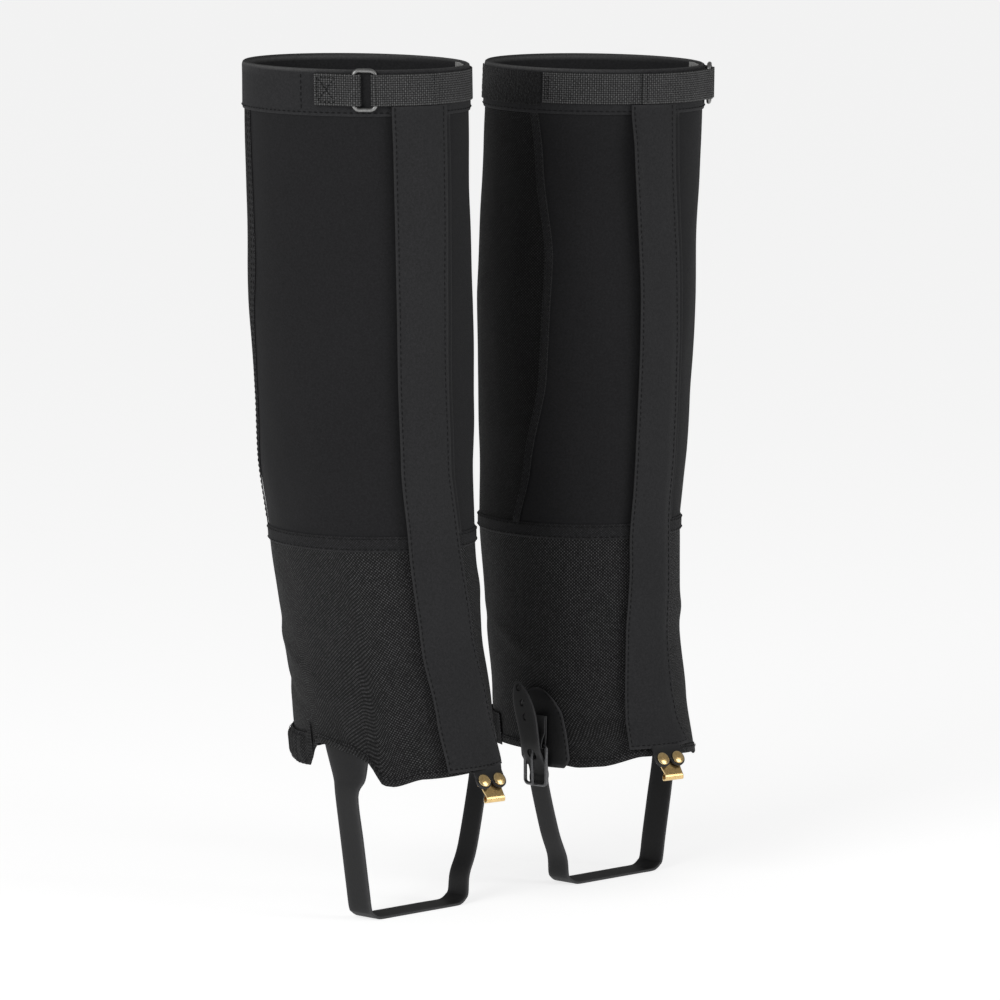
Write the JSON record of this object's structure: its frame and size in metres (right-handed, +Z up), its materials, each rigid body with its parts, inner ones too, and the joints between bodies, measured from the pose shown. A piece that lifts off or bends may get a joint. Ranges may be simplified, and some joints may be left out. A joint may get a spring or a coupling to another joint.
{
  "type": "hiking gaiters",
  "caption": "Knee-high fabric gaiters, worn shape, with front flap, webbing strap and ring at the top, brass lace hook and buckled under-foot strap.",
  "frame": {"origin": "the wearer's stance point, midway between the two under-foot straps and level with their lowest faces", "axes": "+Z up the legs, -Y towards the toes, the wearer's left gaiter at +X"},
  "size_m": [0.3626, 0.1816, 0.5423],
  "materials": {
    "softshell": "matt smooth softshell",
    "flap_cloth": "matt smooth softshell",
    "oxford": "coarse oxford weave",
    "band_cloth": "matt woven",
    "webbing": "ribbed webbing",
    "hook_and_loop": "fuzzy tape",
    "thread_tape": "woven tape",
    "elastic": "gathered elastic",
    "rubber": "satin moulded rubber",
    "facing": "pale facing",
    "ring_metal": "satin grey",
    "buckle_metal": "black",
    "brass": "polished"
  },
  "bodies": {
    "right_sleeve": {"right_inner_panel": "softshell", "right_outer_panel": "softshell", "right_rear_panel": "oxford", "right_lower_panel": "oxford", "right_seam_binding": "thread_tape", "right_hem_binding": "thread_tape", "right_rear_seam_inner": "thread_tape", "right_rear_seam_outer": "thread_tape", "right_top_band": "band_cloth", "right_band_loop_tape": "hook_and_loop", "right_inner_facing": "facing", "right_flap_seam": "flap_cloth", "right_loop_tape": "hook_and_loop", "right_heel_elastic": "elastic", "right_strap_stub": "webbing", "right_top_strap": "webbing", "right_strap_ring": "ring_metal", "right_side_patch": "rubber", "right_outer_anchor": "rubber"},
    "right_flap": {"right_front_flap": "flap_cloth", "right_hook_tape": "hook_and_loop"},
    "right_lace_hook": {"right_hook_tab": "rubber", "right_lace_hook": "brass", "right_hook_rivet_a": "brass", "right_hook_rivet_b": "brass"},
    "right_strap_tail": {"right_strap_tail": "webbing"},
    "right_foot_strap": {"right_underfoot_strap": "rubber", "right_buckle_frame": "buckle_metal", "right_buckle_loop": "rubber"},
    "right_prong": {"right_buckle_prong": "buckle_metal"},
    "left_sleeve": {"left_inner_panel": "softshell", "left_outer_panel": "softshell", "left_rear_panel": "oxford", "left_lower_panel": "oxford", "left_seam_binding": "thread_tape", "left_hem_binding": "thread_tape", "left_rear_seam_inner": "thread_tape", "left_rear_seam_outer": "thread_tape", "left_top_band": "band_cloth", "left_band_loop_tape": "hook_and_loop", "left_inner_facing": "facing", "left_flap_seam": "flap_cloth", "left_loop_tape": "hook_and_loop", "left_heel_elastic": "elastic", "left_strap_stub": "webbing", "left_top_strap": "webbing", "left_strap_ring": "ring_metal", "left_side_patch": "rubber", "left_outer_anchor": "rubber"},
    "left_flap": {"left_front_flap": "flap_cloth", "left_hook_tape": "hook_and_loop"},
    "left_lace_hook": {"left_hook_tab": "rubber", "left_lace_hook": "brass", "left_hook_rivet_a": "brass", "left_hook_rivet_b": "brass"},
    "left_strap_tail": {"left_strap_tail": "webbing"},
    "left_foot_strap": {"left_underfoot_strap": "rubber", "left_buckle_frame": "buckle_metal", "left_buckle_loop": "rubber"},
    "left_prong": {"left_buckle_prong": "buckle_metal"}
  },
  "joints": [
    {"name": "right_flap_open", "type": "hinge", "parent": "right_sleeve", "child": "right_flap", "pos_m": [-0.07985, -0.07814, 0.30548], "axis": [-0.0797, 0.0233, 0.9965], "range_deg": [0, 110]},
    {"name": "right_lace_hook_lift", "type": "hinge", "parent": "right_flap", "child": "right_lace_hook", "pos_m": [-0.07793, -0.08878, 0.1002], "axis": [-0.9816, -0.1908, 0], "range_deg": [-20, 15]},
    {"name": "right_strap_tail_peel", "type": "hinge", "parent": "right_sleeve", "child": "right_strap_tail", "pos_m": [-0.15213, -0.06569, 0.5277], "axis": [0, 0, -1], "range_deg": [0, 120]},
    {"name": "right_foot_strap_swing", "type": "hinge", "parent": "right_sleeve", "child": "right_foot_strap", "pos_m": [-0.08411, -0.026, 0.10025], "axis": [0.9621, 0, 0.2727], "range_deg": [-12, 12]},
    {"name": "right_prong_lift", "type": "hinge", "parent": "right_foot_strap", "child": "right_prong", "pos_m": [-0.02477, -0.026, 0.1035], "axis": [0, -1, 0], "range_deg": [0, 15]},
    {"name": "left_flap_open", "type": "hinge", "parent": "left_sleeve", "child": "left_flap", "pos_m": [0.11007, -0.08029, 0.29647], "axis": [0.0125, 0.031, 0.9994], "range_deg": [0, 110]},
    {"name": "left_lace_hook_lift", "type": "hinge", "parent": "left_flap", "child": "left_lace_hook", "pos_m": [0.09594, -0.08972, 0.0912], "axis": [-0.9945, -0.1045, 0], "range_deg": [-20, 15]},
    {"name": "left_strap_tail_peel", "type": "hinge", "parent": "left_sleeve", "child": "left_strap_tail", "pos_m": [0.15213, -0.06569, 0.5187], "axis": [0, 0, 1], "range_deg": [0, 120]},
    {"name": "left_foot_strap_swing", "type": "hinge", "parent": "left_sleeve", "child": "left_foot_strap", "pos_m": [0.08411, -0.026, 0.09125], "axis": [0.9621, 0, -0.2727], "range_deg": [-12, 12]},
    {"name": "left_prong_lift", "type": "hinge", "parent": "left_foot_strap", "child": "left_prong", "pos_m": [0.02477, -0.026, 0.0945], "axis": [0, 1, 0], "range_deg": [0, 15]},
    {"name": "pair_apart", "type": "slide", "parent": "right_sleeve", "child": "left_sleeve", "axis": [1, 0, 0], "range_m": [0, 0.15]}
  ]
}
